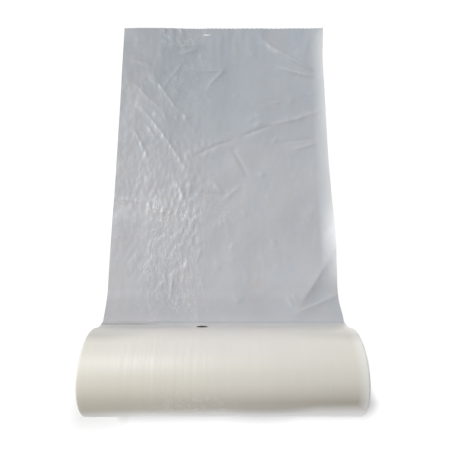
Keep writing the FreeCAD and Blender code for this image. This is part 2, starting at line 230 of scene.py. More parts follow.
# Noise of the finishes, here and below: features to the metre, detail and roughness.
STREAK_NOISE = (260, 3.0, 0.6)
CLOUD_NOISE = (22, 2.0, 0.5)
LAYER_NOISE = (1500, 2.0, 0.7)
GRAIN_NOISE = (900, 2.0, 0.5)
# Streaks, layers and grain run round the roll: this much of a turn counts for them.
STREAK_RUN = 0.004
LAYER_RUN = 0.003
GRAIN_RUN = 0.02
# How much streaks and clouds change the tone, and how dark the layers of the ends are.
STREAK_TONE = 0.05
CLOUD_TONE = 0.05
END_SHADE = 0.08
LAYER_SHADE = 0.30
LAYER_MIDDLE = 0.4
# The lip turns from the evenness and colour of the roll to those of one bag over the
# first length. The colour takes up to the second length more at the left. At the tear
# line it is the bag's colour near the roll by this share, made a little warmer.
HANG_FADE = 21 * MM
HANG_FADE_LEFT = 60 * MM
HANG_LEFT_FROM = -30 * MM
HANG_LEFT_REACH = 100 * MM
HANG_SHARE = 0.78
HANG_TINT = (1.0, 0.995, 0.975)
# Beside the tear line the left part of the lip is darker by up to this share: painted
# shade of the gaping perforation.
TEAR_SHADE = 0.52
TEAR_LINE = 2.6 * MM
TEAR_LINE_WIDTH = 1.8 * MM
TEAR_LEFT_FROM = -68 * MM
TEAR_LEFT_FADE = 40 * MM
# The outer turns are painted pale over this width at the right end, as painted light that
# lifts the shade of the rounded corner, by a share that is whole on their low side.
END_PAINTED_LIGHT = 13 * MM
END_PAINTED_LIGHT_SHARE = 0.8
PAINTED_LIGHT_COLOUR = (0.93, 0.93, 0.91)
# Painted shade: the front is darker and warmer below this height, by a share that grows to
# the right, for each metre. Right of the middle the height rises, also for each metre.
LOW_TOP = 94.8 * MM
LOW_TILT = 0.008
LOW_FADE = 6.8 * MM
LOW_SHARE = 0.55
LOW_SIDE = 2.6
PAINTED_SHADE_COLOUR = (0.425, 0.395, 0.32)
# Further down a band is pale again, painted light that stands in for the floor's light. It
# rises to the right, for each metre, dips right of the middle, and starts this many fades
# in front of the axis.
UNDER_TOP = 84.8 * MM
UNDER_TILT = 0.020
UNDER_FADE = 8 * MM
UNDER_FRONT = 1.2
DIP_DEPTH = 2.6 * MM
DIP_MIDDLE = 48 * MM
DIP_REACH = 48 * MM
# This pale band is glossier, less so at the dip and over the first stretch at the left.
RIM_FADE = 60 * MM
RIM_DIP = 0.7
# Towards both ends the shoulder beside the lip is darker by up to this share: painted
# shade.
SHOULDER_SHADE = 0.17
SHOULDER_MIDDLE = 41.5 * MM
SHOULDER_FADE = 6.5 * MM
SHOULDER_END = 80 * MM
SHOULDER_REACH = 60 * MM
# The cream is cooler in the middle of the back, and warmer low down, mostly at the left:
# a tint of painted light on the lit back and of painted shade low down.
COOL_BACK = 0.055
WARM_FRONT = 0.065
ROSE_FRONT = 0.013
TINT_SHIFT = 0.3
TINT_MIDDLE = 8 * MM
TINT_FADE = 18 * MM
TINT_REACH = 150 * MM
# Along its top, within this reach, the roll is a little paler, more so to the left:
# painted light.
TOP_MIDDLE = 3 * MM
TOP_REACH = 23 * MM
TOP_PAINTED_LIGHT = 0.05
TOP_SIDE = 0.4
# Fine streaks stand out round the roll within this reach of their middle.
STREAK_MIDDLE = -75 * MM
STREAK_REACH = 85 * MM
STREAK_PEAK = 1.1
# The gloss weakens over this width at the left end.
DULL_END = 90 * MM
# Crinkles at the front of the roll: their middle and reach, across and up, how fine and
# how many they are, and how pale their painted highlights are.
CRINKLE_PLACE = (-33 * MM, 84 * MM)
CRINKLE_SIZE = (55 * MM, 13 * MM)
CRINKLE_HEADING = radians(36)
CRINKLE_SCALE = 1.4
CRINKLE_SHARE = 1.5
CRINKLE_HIGHLIGHT = 0.22
# Roughness and coat of the roll, and what streaks, ends, dull film and the pale band
# add to them or take away.
ROLL_ROUGHNESS = 0.40
STREAK_ROUGHNESS = 0.12
END_ROUGHNESS = 0.2
DULL_ROUGHNESS = 0.14
RIM_SMOOTHNESS = 0.15
ROLL_COAT = 0.62
END_COAT_LOSS = 0.5
DULL_COAT_LOSS = 0.6
RIM_COAT = 0.5
COAT_ROUGHNESS = 0.31
COAT_IOR = 1.6
# Height of the roll's bumps, and the parts that make it up.
ROLL_BUMP = 0.12 * MM
STREAK_BUMP = 1.9
GRAIN_BUMP = 0.6
LAYER_BUMP = 2.5
CRINKLE_BUMP = 1.2

# --- looks of the core -----------------------------------------------------------------

SPIRAL_PITCH = 90 * MM
# The butted seam reaches one part in this many of the spiral's pitch to each side.
SEAM_NARROWNESS = 45
FIBRE_NOISE = (420, 4.0, 0.65)
FIBRE_ACROSS = 0.35
FIBRE_RUN = 0.12
FLECK_NOISE = (900, 1.0, 0.5)
FLECK_CONTRAST = 6
FLECK_FROM = 3.9
# The dark fibres as a share of the board's colour, the board's tone, and how much darker
# the seam and the flecks are.
DARK_BOARD = 0.72
BOARD_TONE = 1.12
SEAM_SHADE = 0.35
FLECK_SHADE = 0.25
BOARD_ROUGHNESS = 0.82
FIBRE_ROUGHNESS = 0.1
SEAM_BUMP = 1.5
BOARD_BUMP = 0.15 * MM

# --- shape of the unrolled bag -----------------------------------------------------------

# The film's path is worked out in these steps, to this many times its free edge's reach.
PATH_STEP = 0.1 * MM
PATH_SPARE = 1.2
# The columns crowd into the left half by this share, and more stand beside each edge, at
# these shares of a column's width from it.
LEFT_DENSITY = 0.25
EDGE_COLUMNS = (0.5, 0.24, 0.08)
CUT_HEIGHT = 0.8 * MM
# Every third column of faces is left as a tie between two cuts, and this many at each
# edge of the film.
CUT_EVERY = 3
CUT_MARGIN = 4
# The cuts gape less to the right, by up to this share. The change starts this many half
# widths left of the middle and takes this many.
CUT_LOSS = 0.7333
CUT_LOSS_FROM = 0.9
CUT_LOSS_OVER = 0.8
# The folds grow from nothing at the perforation over the first length. Other changes
# along the film take the second one.
FOLD_START = 14 * MM
FOLD_FADE = 40 * MM
# The right edge curls up over this width, from a place behind the roll on, steeper by a
# power, to this share of its setting apart from its ripple.
CURL_WIDTH = 19 * MM
CURL_START = 80 * MM
CURL_POWER = 1.3
CURL_SHARE = 0.8
# Where it runs into the buckle it stands higher by this many times its setting.
EDGE_LIFT = 1.7
EDGE_LIFT_AT = 165 * MM
# Folds draw the right edge in by this much, along this stretch.
EDGE_PULL = 3.5 * MM
PULL_START = 170 * MM
PULL_FADE = 110 * MM
PULL_END = 500 * MM
PULL_BACK = 70 * MM
# Behind the roll the whole bag runs this far to the left, and straightens again.
DRIFT = 1.1 * MM
DRIFT_FADE = 30 * MM
DRIFT_END = 260 * MM
DRIFT_BACK = 80 * MM
# Folds that would reach below the floor settle on it within this height.
SETTLE = 0.25 * MM
# Gaps break up the folds of the left half into short crinkles, by up to this share, and
# further back by the end share less.
BROKEN_SHARE = 0.55
BROKEN_FADE = 40 * MM
BROKEN_END = 0.8
BROKEN_TO = 280 * MM
BROKEN_TURN = 80 * MM
SEAL_HEIGHT = 0.2 * MM
# The skirt beyond the seal crinkles, this share as much towards its left end.
SKIRT_HEIGHT = 0.5 * MM
CALM_SHARE = 0.25
CALM_TO = -125 * MM
CALM_FADE = 45 * MM

# --- looks of the unrolled bag -------------------------------------------------------------

FILM_CLOUD_NOISE = (14, 3.0, 0.55)
FILM_PATCH_NOISE = (31, 2.0, 0.5)
FILM_GRAIN_NOISE = (210, 3.0, 0.6)
FILM_GRAIN_RUN = 0.35
# The film grows paler towards the roll between these two distances, and is darker again
# where it slopes, as painted shade against the key lamp's light on the slope, less so to
# the right, for each metre.
PALE_FROM = 410 * MM
PALE_TO = 190 * MM
SLOPE_END = 109 * MM
SLOPE_FADE = 30 * MM
SLOPE_SHADE = 0.165
SLOPE_SIDE = 1.2
# Beside the tear line the film is paler by up to this share: painted light against the
# shade of the kink.
TEAR_PAINTED_LIGHT = 0.05
TEAR_PAINTED_LIGHT_REACH = 1.5 * TEAR_STRIP
# Away from the roll the film is paler towards its right edge and darker towards its left,
# by a share for each metre, of which this part is lost near the roll: painted light and
# shade that even out the key lamp from the left.
SIDE_TONE = 1.05
SIDE_LOSS = 0.7
PATCH_TONE = 0.05
# How much clouds, crests and strokes whiten the film, and how fast the curled edge does.
# On crests this is strained film with a painted highlight, on strokes a painted highlight,
# and on the curled edge painted light where it lifts.
CLOUD_PALE = 0.10
CREST_PALE_AND_SHADE = 0.14
STROKE_HIGHLIGHT = 0.26
PAINTED_LIGHT_POWER = 1.5
# Patches are warmer or cooler. They are cooler to the right, for each metre, and round
# one place, given by its middle and reach.
COOL_TINT = (0.975, 1.0, 1.025)
WARM_TINT = (1.02, 0.998, 1.0)
WARM_CONTRAST = 3
WARM_FROM = 1.0
WARM_SIDE = 1.5
COOL_SHARE = 1.3
COOL_PLACE = (-30 * MM, 385 * MM)
COOL_SIZE = (90 * MM, 95 * MM)
FILM_ROUGHNESS = 0.33
CLOUD_ROUGHNESS = 0.10
SLOPE_ROUGHNESS = 0.3
FILM_BUMP = 0.16 * MM
FILM_GRAIN_BUMP = 0.3
# Strokes of crumpled film follow the middle values of drawn-out noise that is bent a
# little. They come in patches, which grow with the share of crumpling.
STROKE_NOISE = (210, 1.0)
STROKE_RUN = 0.40
STROKE_BEND_NOISE = (45, 2.0)
STROKE_BEND = 0.014
STROKE_NARROWNESS = 15
STROKE_PATCH_NOISE = (80, 1.0)
STROKE_PATCH_SEED = 3.0
STROKE_PATCH_CONTRAST = 5
STROKE_PATCH_FROM = 2.9
STROKE_PATCH_GROWTH = 1.6
# Fine crumpling that is everywhere, and the fields of more: their corners on the plan,
# in millimetres, and their strength. The strokes run along the bag or slant across it.
CRUMPLE_EVERYWHERE = 0.22
SOFT_BORDER = 38
UPRIGHT_FIELDS = [
    ((-128, 36), (-5, 245), 0.95),
    ((-185, 84), (-75, 245), 0.45),
    ((-50, 150), (36, 245), 0.7),
    ((-128, 432), (-5, 530), 0.6),
    ((20, 80), (110, 165), 0.3),
]
SLANTED_FIELDS = [
    ((-175, 205), (-25, 350), 0.4),
    ((-165, 316), (-20, 455), 0.28),
    ((-110, 330), (20, 480), 0.5),
    ((30, 385), (175, 485), 0.35),
    ((70, 265), (175, 375), 0.3),
]
UPRIGHT_HEADING = radians(97)
SLANTED_HEADING = radians(-52)
# Broad spots that are paler or darker than the film round them: their middle and reach
# on the plan, in millimetres, and the change of tone. The first is painted shade that
# dims the key lamp's gloss along the left edge.
TONE_SPOTS = [
    ((-154, 305), (34, 140), -0.12),
    ((32, 272), (38, 85), 0.07),
    ((142, 245), (28, 65), 0.09),
    ((-133, 95), (34, 26), 0.06),
    ((151, 93), (26, 26), 0.07),
    ((-68, 410), (34, 55), -0.05),
    ((-45, 447), (26, 22), -0.06),
]

# --- sizes of the stage --------------------------------------------------------------

# The key lamp stands this way from the middle of the stage, and the card in front.
STAGE_MIDDLE = Vector((0, 0.15, 0))
KEY_WAY = Vector((-1.0, 0.7, 1.25))
KEY_DISTANCE = 5.0
KEY_SIZE = 1.7
CARD_PLACE = Vector((0, -1.6, 0.16))
CARD_SIZE = (1.6, 0.3)
# The floor lies this far below the object's lowest level, and the roll's film ends at
# least as far above it.
FLOOR_GAP = 0.05 * MM
FLOOR_SIZE = 8
PAPER_COLOUR = (0.93, 0.93, 0.93)
WHITE = (1, 1, 1)
# The paper glows with this strength, by up to this share, outside the object's footprint.
# The glow grows over the fade, which starts this far inside the bag's edges, and outside
# the roll's front corners.
GLOW_STRENGTH = 1.06
FLOOR_GLOW = 0.94
GLOW_FADE = 24 * MM
GLOW_INSIDE = 1.3 * GLOW_FADE
CORNER_REACH = 21 * MM
# In front of the roll it starts further in, the more so to the right, for each metre,
# apart from the place of the dip. At the left end it starts further out.
FRONT_GLOW = 4 * MM
FRONT_SHARE = 0.6
FRONT_TILT = 3.0
FRONT_LEFT = -116 * MM
FRONT_LEFT_SHADE = 13 * MM
FRONT_LEFT_FADE = 20 * MM

# --- camera ------------------------------------------------------------------------

CAMERA_PLACE = Vector((0.002, 0.0811, 0.5015))
CAMERA_TILT = radians(11.3)
CAMERA_LENS = 29.68
CAMERA_SENSOR = 36.0


class BagRollSettings(PropertyGroup):
    """Sizes and colours that a user would change."""

    wound_colour: FloatVectorProperty(
        name="Wound film", description="Colour of many turns of film, milky cream",
        size=3, subtype="COLOR", min=0, max=1, default=(0.735, 0.712, 0.640))
    film_colour: FloatVectorProperty(
        name="Single bag", description="Colour of one bag of film over a pale surface",
        size=3, subtype="COLOR", min=0, max=1, default=(0.420, 0.445, 0.472))
    near_colour: FloatVectorProperty(
        name="Bag near the roll", description="Colour of the film of the bag beside the roll",
        size=3, subtype="COLOR", min=0, max=1, default=(0.516, 0.523, 0.542))
    pale_colour: FloatVectorProperty(
        name="Strained film", description="Colour of film that folds or light have whitened",
        size=3, subtype="COLOR", min=0, max=1, default=(0.74, 0.75, 0.76))
    board_colour: FloatVectorProperty(
        name="Paperboard", description="Colour of the spiral-wound core",
        size=3, subtype="COLOR", min=0, max=1, default=(0.45, 0.34, 0.235))
    film_thickness: FloatProperty(
        name="Film thickness", description="Thickness of the two plies of one bag",
        subtype="DISTANCE", unit="LENGTH", default=0.15 * MM, min=0.05 * MM, max=0.5 * MM)
    fold_scale: FloatProperty(
        name="Fold height", description="Height of the folds as a share of their own height",
        default=1.0, min=0, max=2)
    swell_height: FloatProperty(
        name="Swell", description="Height of the broad waves in the unrolled film",
        subtype="DISTANCE", unit="LENGTH", default=1.6 * MM, min=0, max=5 * MM)
    curl_height: FloatProperty(
        name="Edge curl", description="How far the right edge of the film curls up",
        subtype="DISTANCE", unit="LENGTH", default=2.4 * MM, min=0, max=8 * MM)
    cut_opening: FloatProperty(
        name="Perforation", description="Opening of a cut of the perforation at the left",
        subtype="DISTANCE", unit="LENGTH", default=0.3 * MM, min=0.03 * MM, max=0.6 * MM)
    slit_opening: FloatProperty(
        name="Slit", description="How far a hooking slit gapes",
        subtype="DISTANCE", unit="LENGTH", default=1.7 * MM, min=0.2 * MM, max=4 * MM)
    band_height: FloatProperty(
        name="Gauge bands", description="Height of the bands round the roll, from film that "
        "is a little thicker in places", subtype="DISTANCE", unit="LENGTH",
        default=0.07 * MM, min=0, max=1 * MM)
    corner_radius: FloatProperty(
        name="Soft corner", description="Rounding of the outer turns at the roll's ends",
        subtype="DISTANCE", unit="LENGTH", default=1.8 * MM, min=0.2 * MM, max=6 * MM)
    turn_relief: FloatProperty(
        name="Turn relief", description="How unevenly the turns end at the roll's ends",
        subtype="DISTANCE", unit="LENGTH", default=0.7 * MM, min=0, max=2 * MM)
    columns: IntProperty(
        name="Columns", description="Columns of faces across the film",
        default=178, min=24, max=240)
    key_power: FloatProperty(
        name="Key lamp", description="Power of the key lamp", unit="POWER",
        default=248, min=0, max=500)
    card_power: FloatProperty(
        name="Front card", description="Power of the low light in front", unit="POWER",
        default=6.5, min=0, max=100)
    fill_strength: FloatProperty(
        name="Sky", description="Strength of the even light from all round",
        default=0.10, min=0, max=2)


# --- film surfaces -------------------------------------------------------------------

def outward(heading):
    """Normal of the film, on the side away from the roll."""
    return Vector((0, -sin(heading), cos(heading)))


ROLL_AXIS = Vector((0, 0, AXIS_HEIGHT))
LIP_CENTRE = ROLL_AXIS + outward(LEAVE_HEADING) * (ROLL_RADIUS + LIP_BEND)
TEAR_POINT = LIP_CENTRE - outward(TEAR_HEADING) * LIP_BEND


def ease(value):
    """Smooth step from 0 to 1."""
    value = np.clip(value, 0, 1)
    return value * value * (3 - 2 * value)


def hump(value, middle, reach):
    """1 at a middle value, falling to 0 at a reach on both sides of it."""
    return np.clip(1 - ((value - middle) / reach) ** 2, 0, 1)


def window(value, low, high, border):
    """1 between two values, fading to 0 over a border inside each."""
    return ease((value - low) / border) * ease((high - value) / border)


def smooth_noise(across, down, feature):
    """Smooth noise over arrays of places, up to the strength of its feature."""
    strength, size, run, seed = feature
    places = zip(across.flat, (down * run).flat)
    values = [noise.noise(Vector((a / size, b / size, seed))) for a, b in places]
    return strength * np.array(values).reshape(across.shape)


def fold_shares(x, y, points, left, right):
    """How near each place is to a fold's crest: a share of its height, which falls away
    over a reach on each side, and a share of its narrow crest line."""
    total = sum(hypot(x1 - x0, y1 - y0) for (x0, y0), (x1, y1) in zip(points, points[1:]))
    height = np.zeros(x.shape)
    crest = np.zeros(x.shape)
    start = 0
    for (x0, y0), (x1, y1) in zip(points, points[1:]):
        run = hypot(x1 - x0, y1 - y0)
        ahead_x, ahead_y = (x1 - x0) / run, (y1 - y0) / run
        forward = np.clip((x - x0) * ahead_x + (y - y0) * ahead_y, 0, run)
        gap = np.hypot(x - x0 - forward * ahead_x, y - y0 - forward * ahead_y)
        side = ahead_x * (y - y0) - ahead_y * (x - x0)
        reach = np.where(side > 0, left, right)
        wave = TAPER_CUT + (1 - 2 * TAPER_CUT) * (start + forward) / total
        taper = np.sin(pi * wave) ** TAPER_POWER
        height = np.maximum(height, taper * np.exp(-(gap / reach) ** FOLD_SHARPNESS))
        crest = np.maximum(crest, taper * np.exp(-(gap / CREST_WIDTH) ** 2))
        start += run
    return height, crest


def small_creases(field, random):
    """The creases of one field, as folds in the same form as FOLDS."""
    (left, near), (right, far), count, heading, spread, length, height, reach = field
    creases = []
    for _ in range(count):
        middle = (random.uniform(left, right), random.uniform(near, far))
        turn = radians(heading + random.uniform(-spread, spread))
        half = length * random.uniform(*CREASE_LENGTHS) / 2
        bend = half * random.uniform(*CREASE_BENDS)
        ends = [(middle[0] - half * cos(turn), middle[1] - half * sin(turn)),
                (middle[0] + half * cos(turn), middle[1] + half * sin(turn))]
        bent = (middle[0] - bend * sin(turn), middle[1] + bend * cos(turn))
        rise = height * random.uniform(*CREASE_HEIGHTS) * random.choice(CREASE_WAYS)
        wide = reach * random.uniform(*CREASE_REACHES)
        other = wide * random.uniform(*CREASE_RIGHTS)
        creases.append(([ends[0], bent, ends[1]], rise, wide, other))
    return creases


def raise_folds(x, y, folds):
    """Height of the folded film, and how far each place is whitened by a crest, as strained
    film with a painted highlight, or has whitening taken away in a valley, as painted shade.
    """
    height = np.zeros(x.shape)
    crest = np.zeros(x.shape)
    for points, rise, left, right in folds:
        corners = [(a * MM, b * MM) for a, b in points]
        share, line = fold_shares(x, y, corners, left * MM, right * MM)
        height += rise * MM * share
        if rise < 0:
            height -= rise * MM * fold_shares(x, y, corners, BANK_REACH, BANK_REACH)[0]
        crest += np.clip(rise, *CREST_LIMITS) * line * min(1, SHARP_REACH / (left + right))
    return height, crest


def bag_path():
    """Middle of the unrolled film, as functions of the distance from the perforation:
    the strip beside it, the kink, the slope, the landing and the flat run."""
    drop = (TEAR_POINT.z + TEAR_STRIP * sin(TEAR_HEADING)
            + KINK_RADIUS * (cos(TEAR_HEADING) - cos(-SLOPE))
            - LANDING_RADIUS * (1 - cos(SLOPE)))
    runs = [TEAR_STRIP, KINK_RADIUS * (-SLOPE - TEAR_HEADING), drop / sin(SLOPE),
            LANDING_RADIUS * SLOPE]
    turns = np.cumsum([0] + runs)
    headings = [TEAR_HEADING, TEAR_HEADING, -SLOPE, -SLOPE, 0]
    distance = np.arange(0, PATH_SPARE * FREE_EDGE, PATH_STEP)
    heading = np.interp(distance + PATH_STEP / 2, turns, headings)
    y = TEAR_POINT.y + (np.cumsum(np.cos(heading)) - np.cos(heading)) * PATH_STEP
    z = TEAR_POINT.z + (np.cumsum(np.sin(heading)) - np.sin(heading)) * PATH_STEP
    length = float(np.interp(FREE_EDGE, y, distance))
    return distance, y, z, heading, length


def column_places(count):
    """Places of the columns across the film, closer together in its crumpled left half
    and beside its edges."""
    share = np.linspace(0, 1, count + 1 - 2 * len(EDGE_COLUMNS))
    inside = HALF_WIDTH * (2 * share - 1 - LEFT_DENSITY * np.sin(pi * share) ** 2)
    step = 2 * HALF_WIDTH / count
    margin = [HALF_WIDTH - step * part for part in EDGE_COLUMNS]
    return np.array(sorted([*inside, *margin, *(-place for place in margin)]))


def slit_gape(x):
    """Share by which a slit gapes at each place across the film."""
    return hump(x, SLIT_MIDDLE, SLIT_LENGTH / 2)


def boundary(faces):
    """The directed edges that only one face has."""
    edges = {}
    for face in faces:
        for start, end in zip(face, face[1:] + face[:1]):
            edges.setdefault(frozenset((start, end)), []).append((start, end))
    return [uses[0] for uses in edges.values() if len(uses) == 1]


def close_sheet(faces, partner, joined=()):
    """The faces of a sheet's other side, and the walls round its edges, apart from
    those between points that are joined to something else."""
    back = [tuple(partner[point] for point in reversed(face)) for face in faces]
    joined = set(joined)
    walls = [
        (end, start, partner[start], partner[end])
        for start, end in boundary(faces)
        if not (start in joined and end in joined)
    ]
    return back + walls


def build_piece(context, name, points, faces, shares, finish, node):
    """A mesh object that stands for a CAD node, with a share of each kind at its points."""
    mesh = bpy.data.meshes.new(name)
    mesh.from_pydata([tuple(point) for point in points], [], faces)
    for kind, values in shares.items():
        layer = mesh.attributes.new(kind, "FLOAT", "POINT")
        layer.data.foreach_set("value", np.asarray(values, np.float32).ravel())
    mesh.shade_smooth()
    mesh.set_sharp_from_angle(angle=SHARP_ANGLE)
    mesh.materials.append(finish)
    if mesh.validate():
        raise RuntimeError(name + " had faces that had to be mended")
    piece = bpy.data.objects.new(name, mesh)
    context.scene.collection.objects.link(piece)
    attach(piece, "root")
    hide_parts(node)
    return piece


# --- finishes ------------------------------------------------------------------------

class Value:
    """A socket that takes part in Python arithmetic: each operator adds its Math node."""

    def __init__(self, nodes, socket):
        self.nodes = nodes
        self.socket = socket

    def math(self, operation, first, second=0.0):
        return self.nodes.node("ShaderNodeMath", {"operation": operation}, {0: first, 1: second})

    def __add__(self, other):
        return self.math("ADD", self, other)

    def __sub__(self, other):
        return self.math("SUBTRACT", self, other)

    def __rsub__(self, other):
        return self.math("SUBTRACT", other, self)

    def __mul__(self, other):
        return self.math("MULTIPLY", self, other)

    def __truediv__(self, other):
        return self.math("DIVIDE", self, other)

    def __pow__(self, other):
        return self.math("POWER", self, other)

    def __neg__(self):
        return self.math("SUBTRACT", 0.0, self)

    __radd__ = __add__
    __rmul__ = __mul__

    def size(self):
        """The value without its sign."""
        return self.math("ABSOLUTE", self)

    def larger(self, other):
        """The larger one of two values."""
        return self.math("MAXIMUM", self, other)

    def held(self):
        """The value, held between 0 and 1."""
        return self.math("MINIMUM", self.larger(0.0), 1.0)

    def hump(self, middle, reach):
        """1 at a middle value, falling to 0 at a reach on both sides of it."""
        return (1 - ((self - middle) / reach) ** 2).held()

    def output(self, name):
        """Another output of the same node."""
        return Value(self.nodes, self.socket.node.outputs[name])


class Nodes:
    """The node tree of a material or a world."""

    def __init__(self, tree):
        self.tree = tree
        tree.nodes.clear()

    def node(self, kind, settings, sockets, output=0):
        """Add a node: its settings first, then its sockets' values or links."""
        node = self.tree.nodes.new(kind)
        for name, setting in settings.items():
            setattr(node, name, setting)
        for name, value in sockets.items():
            socket = node.inputs[name]
            if isinstance(value, Value):
                self.tree.links.new(value.socket, socket)
            elif socket.type == "RGBA":
                socket.default_value = (*value, 1.0)
            else:
                socket.default_value = value
        return Value(self, node.outputs[output]) if node.outputs else None

    def place(self):
        """Place on the object, in metres."""
        return self.node("ShaderNodeTexCoord", {}, {}, "Object")

    def axes(self, vector):
        """The three numbers of a vector."""
        across = self.node("ShaderNodeSeparateXYZ", {}, {0: vector})
        return across, across.output("Y"), across.output("Z")

    def vector(self, x, y, z):
        return self.node("ShaderNodeCombineXYZ", {}, {0: x, 1: y, 2: z})

    def share(self, kind):
        """A share that the mesh carries at its points."""
        return self.node("ShaderNodeAttribute", {"attribute_name": kind}, {}, "Fac")

    def noise(self, vector, scale, detail=2.0, roughness=0.5):
        """Noise between 0 and 1, with scale features to the metre."""
        sockets = {"Vector": vector, "Scale": scale, "Detail": detail, "Roughness": roughness}
        return self.node("ShaderNodeTexNoise", {}, sockets)

    def blend(self, share, first, second):
        """A colour between two colours."""
        sockets = {0: share, 6: first, 7: second}
        return self.node("ShaderNodeMix", {"data_type": "RGBA"}, sockets, 2)

    def scaled(self, colour, share):
        """A colour made lighter or darker."""
        sockets = {0: colour, "Scale": share}
        return self.node("ShaderNodeVectorMath", {"operation": "SCALE"}, sockets)

    def tinted(self, colour, tint):
        """A colour multiplied by another."""
        return self.node("ShaderNodeVectorMath", {"operation": "MULTIPLY"}, {0: colour, 1: tint})

    def bump(self, height, distance):
        sockets = {"Height": height, "Distance": distance}
        return self.node("ShaderNodeBump", {}, sockets)


def new_finish(name, make_surface):
    """A material whose surface comes from a function of its nodes."""
    material = bpy.data.materials.new(name)
    material.use_nodes = True
    nodes = Nodes(material.node_tree)
    nodes.node("ShaderNodeOutputMaterial", {}, {"Surface": make_surface(nodes)})
    return material


def around_core(nodes, place):
    """Distance from the core's axis and angle round it, in turns."""
    across, y, z = nodes.axes(place)
    up = z - AXIS_HEIGHT
    radius = (y * y + up * up) ** 0.5
    turn = y.math("ARCTAN2", up, y) / (2 * pi)
    return across, radius, turn


def paperboard_surface(nodes, settings):
    """Grey-brown board wound in a spiral, with fibres, flecks and a butted seam."""
    place = nodes.place()
    across, radius, turn = around_core(nodes, place)
    wound = across / SPIRAL_PITCH + turn
    seam = (1 - SEAM_NARROWNESS * wound.math("PINGPONG", wound, 0.5)).held()
    grain = nodes.vector(across * FIBRE_ACROSS, radius, turn * FIBRE_RUN)
    fibres = nodes.noise(grain, *FIBRE_NOISE)
    flecks = (FLECK_CONTRAST * nodes.noise(place, *FLECK_NOISE) - FLECK_FROM).held()
    dark = [DARK_BOARD * part for part in settings.board_colour]
    colour = nodes.blend(fibres, dark, settings.board_colour)
    tone = BOARD_TONE - SEAM_SHADE * seam - FLECK_SHADE * flecks
    return nodes.node("ShaderNodeBsdfPrincipled", {}, {
        "Base Color": nodes.scaled(colour, tone),
        "Roughness": BOARD_ROUGHNESS + FIBRE_ROUGHNESS * fibres,
        "Specular IOR Level": 0.3,
        "Normal": nodes.bump(fibres - SEAM_BUMP * seam, BOARD_BUMP),
    })


def low_side(across, y, z):
    """Shares of the front's low side, which is painted shade, of the pale band below it,
    which is painted light from the floor, and of the band's dip.
    """
    low = ((LOW_TOP + LOW_TILT * across.held() - z) / LOW_FADE).held()
    low = low * (-y / UNDER_FADE).held()
    dip = across.hump(DIP_MIDDLE, DIP_REACH)
    under = ((UNDER_TOP + UNDER_TILT * across - DIP_DEPTH * dip - z) / UNDER_FADE).held()
    return low, under * (-y / UNDER_FADE - UNDER_FRONT).held(), dip


def roll_crinkles(nodes, across, y, z, turn):
    """Crinkles in the outer turn, low on the front of the roll."""
    spot = across.hump(CRINKLE_PLACE[0], CRINKLE_SIZE[0])
    spot = spot * z.hump(CRINKLE_PLACE[1], CRINKLE_SIZE[1])
    spot = spot * (1 - y / UNDER_FADE).held()
    run = turn * 2 * pi * ROLL_RADIUS
    return film_strokes(nodes, CRINKLE_SCALE * across, CRINKLE_SCALE * run,
                        CRINKLE_HEADING, CRINKLE_SHARE * spot)


def cream_tint(nodes, across, y):
    """Tint of the many turns: cooler on the lit back, warmer in the painted shade low down."""
    back = ((y - TINT_MIDDLE) / TINT_FADE).held() * across.hump(0, TINT_REACH)
    lower = ((TINT_MIDDLE - y) / TINT_FADE).held()
    low_left = lower * (TINT_SHIFT - across / TINT_REACH).held()
    green = 1 - ROSE_FRONT * (lower + low_left)
    blue = 1 + COOL_BACK * back - WARM_FRONT * low_left
    return nodes.vector(1.0, green, blue)


